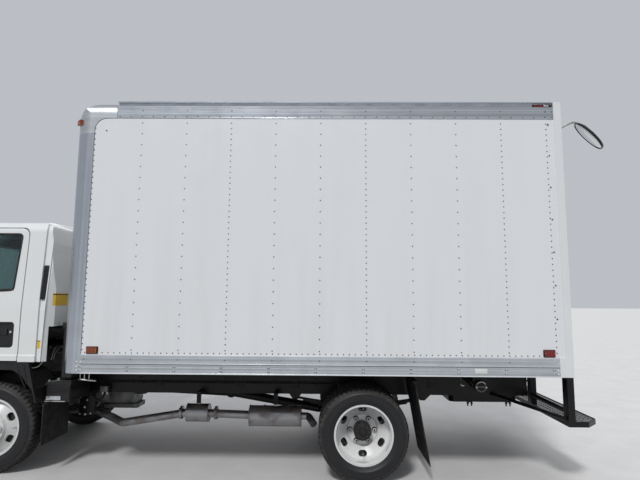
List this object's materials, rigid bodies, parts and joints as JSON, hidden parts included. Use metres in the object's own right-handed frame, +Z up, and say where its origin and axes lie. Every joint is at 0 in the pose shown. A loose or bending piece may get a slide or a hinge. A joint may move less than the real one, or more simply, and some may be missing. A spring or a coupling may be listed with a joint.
{
  "type": "box truck",
  "caption": "Low cab-forward box truck: tilting cab with doors, steered front wheels, twin rear wheels, riveted dry-freight box with roll-up door and step bumper",
  "frame": {"origin": "On the ground below the middle of the whole truck", "axes": "+X to the rear, +Y to the vehicle's right, +Z up"},
  "size_m": [6.766, 2.66, 3.3839],
  "materials": {
    "frame_black": "satin black chassis paint",
    "black_plastic": "grained black plastic",
    "grey_plastic": "grained grey plastic",
    "spring_steel": "painted spring steel",
    "cast_iron": "rough casting",
    "aluminium": "mill finish",
    "exhaust_steel": "aluminised and heat stained",
    "rubber": "dull black",
    "floor_wood": "laminated hardwood planks",
    "box_white": "smooth white pre-painted sheet",
    "cab_white": "gloss white",
    "wheel_white": "gloss white wheel paint",
    "amber_lens": "clear amber lens",
    "red_lens": "clear red lens",
    "clear_lens": "clear lens",
    "glass": "green-tinted safety glass",
    "seat_fabric": "dark woven cloth",
    "tyre": "black rubber"
  },
  "bodies": {
    "chassis": {"ladder_frame": "frame_black", "front_bumper": "black_plastic", "front_axle": "frame_black", "leaf_springs": "spring_steel", "rear_axle": "frame_black", "engine_block": "cast_iron", "radiator": "aluminium", "gearbox": "aluminium", "driveshaft": "frame_black", "exhaust": "exhaust_steel", "fuel_tank": "frame_black", "battery_box": "black_plastic", "air_intake": "black_plastic", "mudflaps": "rubber", "step_bumper": "frame_black", "box_long_sills": "frame_black", "box_cross_sills": "frame_black", "box_floor": "floor_wood", "box_walls": "box_white", "box_roof": "box_white", "box_side_rails": "aluminium", "box_corner_posts": "aluminium", "box_front_header": "aluminium", "rear_frame": "box_white", "roll_up_door": "box_white", "amber_lights": "amber_lens", "red_lights": "red_lens", "backup_mirror": "black_plastic"},
    "cab": {"cab_body": "cab_white", "cab_floor": "black_plastic", "cab_windows": "glass", "grille": "black_plastic", "headlights": "clear_lens", "dashboard": "grey_plastic", "steering_wheel": "black_plastic", "cab_seats": "seat_fabric", "cab_steps": "black_plastic", "arch_liners": "black_plastic", "side_mirrors": "black_plastic"},
    "left_door": {"left_door": "cab_white", "left_door_glass": "glass"},
    "right_door": {"right_door": "cab_white", "right_door_glass": "glass"},
    "left_knuckle": {"left_knuckle": "cast_iron"},
    "right_knuckle": {"right_knuckle": "cast_iron"},
    "tie_rod": {"tie_rod": "frame_black"},
    "front_left_wheel": {"front_left_tyre": "tyre", "front_left_rim": "wheel_white"},
    "front_right_wheel": {"front_right_tyre": "tyre", "front_right_rim": "wheel_white"},
    "rear_left_wheels": {"rear_left_tyres": "tyre", "rear_left_rims": "wheel_white"},
    "rear_right_wheels": {"rear_right_tyres": "tyre", "rear_right_rims": "wheel_white"}
  },
  "joints": [
    {"name": "cab_tilt", "type": "hinge", "parent": "chassis", "child": "cab", "pos_m": [-3.257, 0, 0.7], "axis": [0, -1, 0], "range_deg": [0, 45]},
    {"name": "left_door_hinge", "type": "hinge", "parent": "cab", "child": "left_door", "pos_m": [-3.064, -1.02, 1.3], "axis": [0, 0, -1], "range_deg": [0, 70]},
    {"name": "right_door_hinge", "type": "hinge", "parent": "cab", "child": "right_door", "pos_m": [-3.064, 1.02, 1.3], "axis": [0, 0, 1], "range_deg": [0, 70]},
    {"name": "left_steer", "type": "hinge", "parent": "chassis", "child": "left_knuckle", "pos_m": [-2.164, -0.74, 0.4], "axis": [0, 0, 1], "range_deg": [-40, 40]},
    {"name": "right_steer", "type": "hinge", "parent": "chassis", "child": "right_knuckle", "pos_m": [-2.164, 0.74, 0.4], "axis": [0, 0, 1], "range_deg": [-40, 40]},
    {"name": "tie_rod_pivot", "type": "hinge", "parent": "left_knuckle", "child": "tie_rod", "pos_m": [-2.004, -0.69, 0.296], "axis": [0, 0, 1], "range_deg": [-40, 40]},
    {"name": "front_left_roll", "type": "hinge", "parent": "left_knuckle", "child": "front_left_wheel", "pos_m": [-2.164, -0.85, 0.4], "axis": [0, 1, 0], "continuous": true},
    {"name": "front_right_roll", "type": "hinge", "parent": "right_knuckle", "child": "front_right_wheel", "pos_m": [-2.164, 0.85, 0.4], "axis": [0, 1, 0], "continuous": true},
    {"name": "rear_left_roll", "type": "hinge", "parent": "chassis", "child": "rear_left_wheels", "pos_m": [1.201, -0.8475, 0.4], "axis": [0, 1, 0], "continuous": true},
    {"name": "rear_right_roll", "type": "hinge", "parent": "chassis", "child": "rear_right_wheels", "pos_m": [1.201, 0.8475, 0.4], "axis": [0, 1, 0], "continuous": true}
  ],
  "couplings": [
    {"joint": "right_steer", "follows": "left_steer", "ratio": 1},
    {"joint": "tie_rod_pivot", "follows": "left_steer", "ratio": -1}
  ]
}
